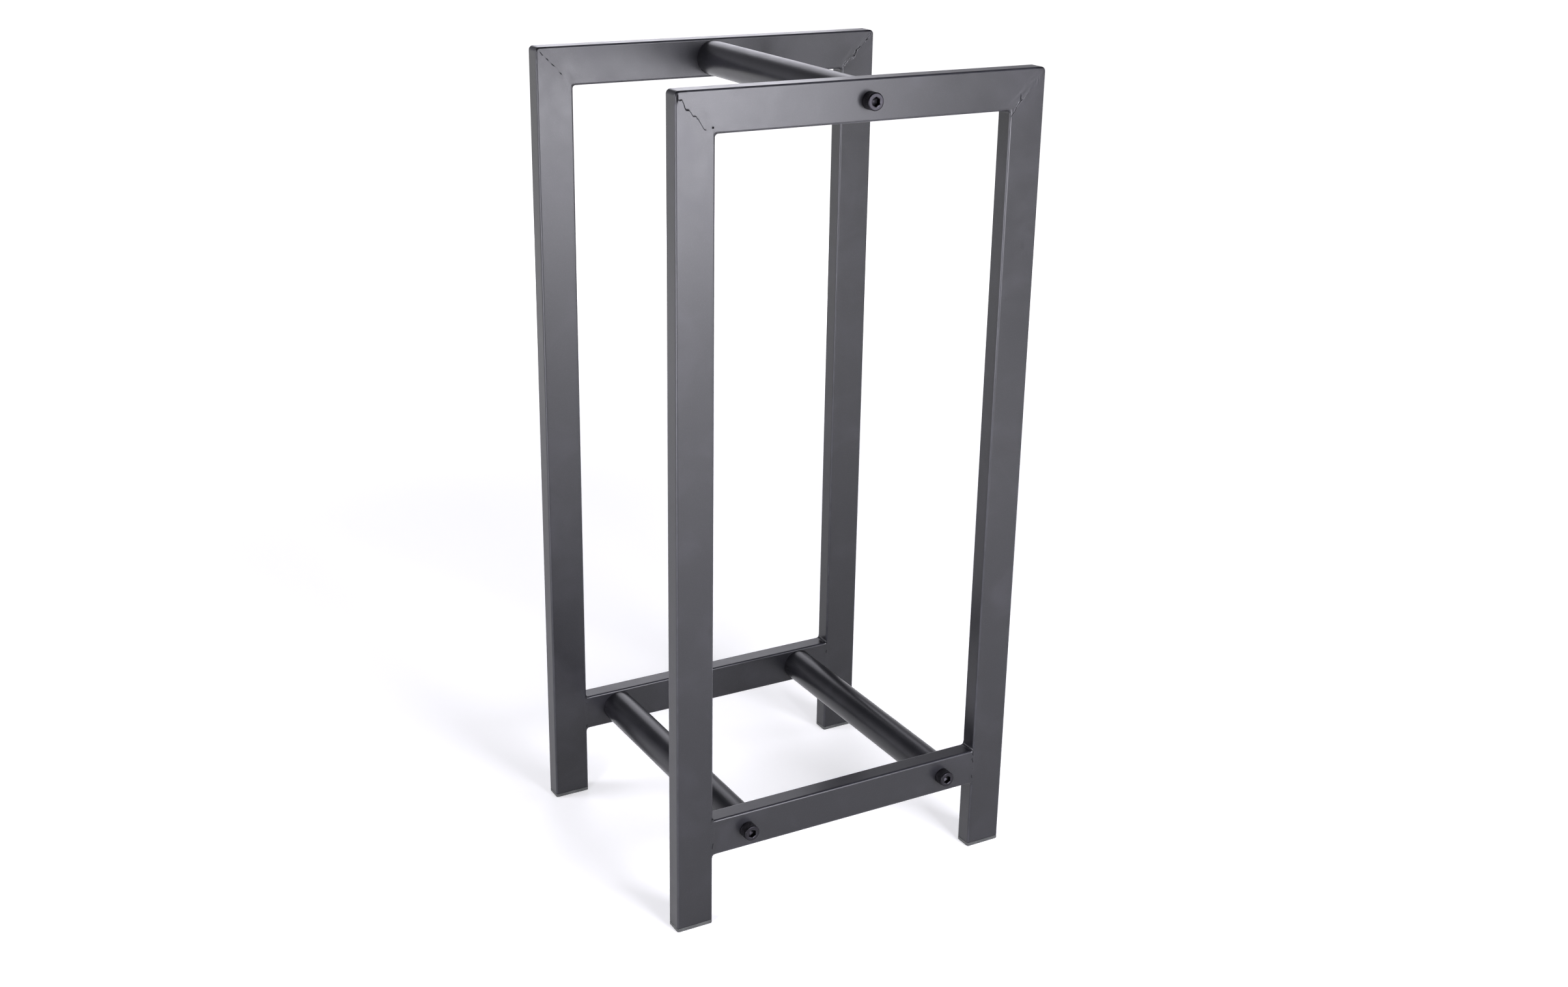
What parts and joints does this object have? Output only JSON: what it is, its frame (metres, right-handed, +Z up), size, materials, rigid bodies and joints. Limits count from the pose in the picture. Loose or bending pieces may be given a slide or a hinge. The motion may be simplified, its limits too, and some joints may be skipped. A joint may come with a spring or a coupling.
{
  "type": "firewood log rack",
  "caption": "Tall open rack for split logs: two welded rectangular-tube frames held apart by a round carry handle and round log bearers, with socket-head cap screws.",
  "frame": {"origin": "on the floor at the middle of the rack, half way between the two frames", "axes": "+Z up, -Y towards the front frame, +X to the right as seen from the front"},
  "size_m": [0.3, 0.2666, 0.64],
  "materials": {
    "powder_coat": "satin anthracite powder coat with light orange peel",
    "blackened_steel": "black oxide, slightly oiled",
    "zinced_steel": "bright zinc",
    "foot_plastic": "moulded matt black"
  },
  "bodies": {
    "root": {"front_left_leg": "powder_coat", "front_right_leg": "powder_coat", "front_top_rail": "powder_coat", "front_bottom_rail": "powder_coat", "rear_left_leg": "powder_coat", "rear_right_leg": "powder_coat", "rear_top_rail": "powder_coat", "rear_bottom_rail": "powder_coat", "carry_handle": "powder_coat", "left_log_bearer": "powder_coat", "right_log_bearer": "powder_coat", "front_top_cap_screw": "blackened_steel", "front_lower_left_cap_screw": "blackened_steel", "front_lower_right_cap_screw": "blackened_steel", "rear_top_cap_screw": "blackened_steel", "rear_lower_left_cap_screw": "blackened_steel", "rear_lower_right_cap_screw": "blackened_steel", "front_top_threaded_plug": "zinced_steel", "front_lower_left_threaded_plug": "zinced_steel", "front_lower_right_threaded_plug": "zinced_steel", "rear_top_threaded_plug": "zinced_steel", "rear_lower_left_threaded_plug": "zinced_steel", "rear_lower_right_threaded_plug": "zinced_steel", "front_left_foot_cap": "foot_plastic", "front_right_foot_cap": "foot_plastic", "rear_left_foot_cap": "foot_plastic", "rear_right_foot_cap": "foot_plastic"}
  },
  "joints": []
}
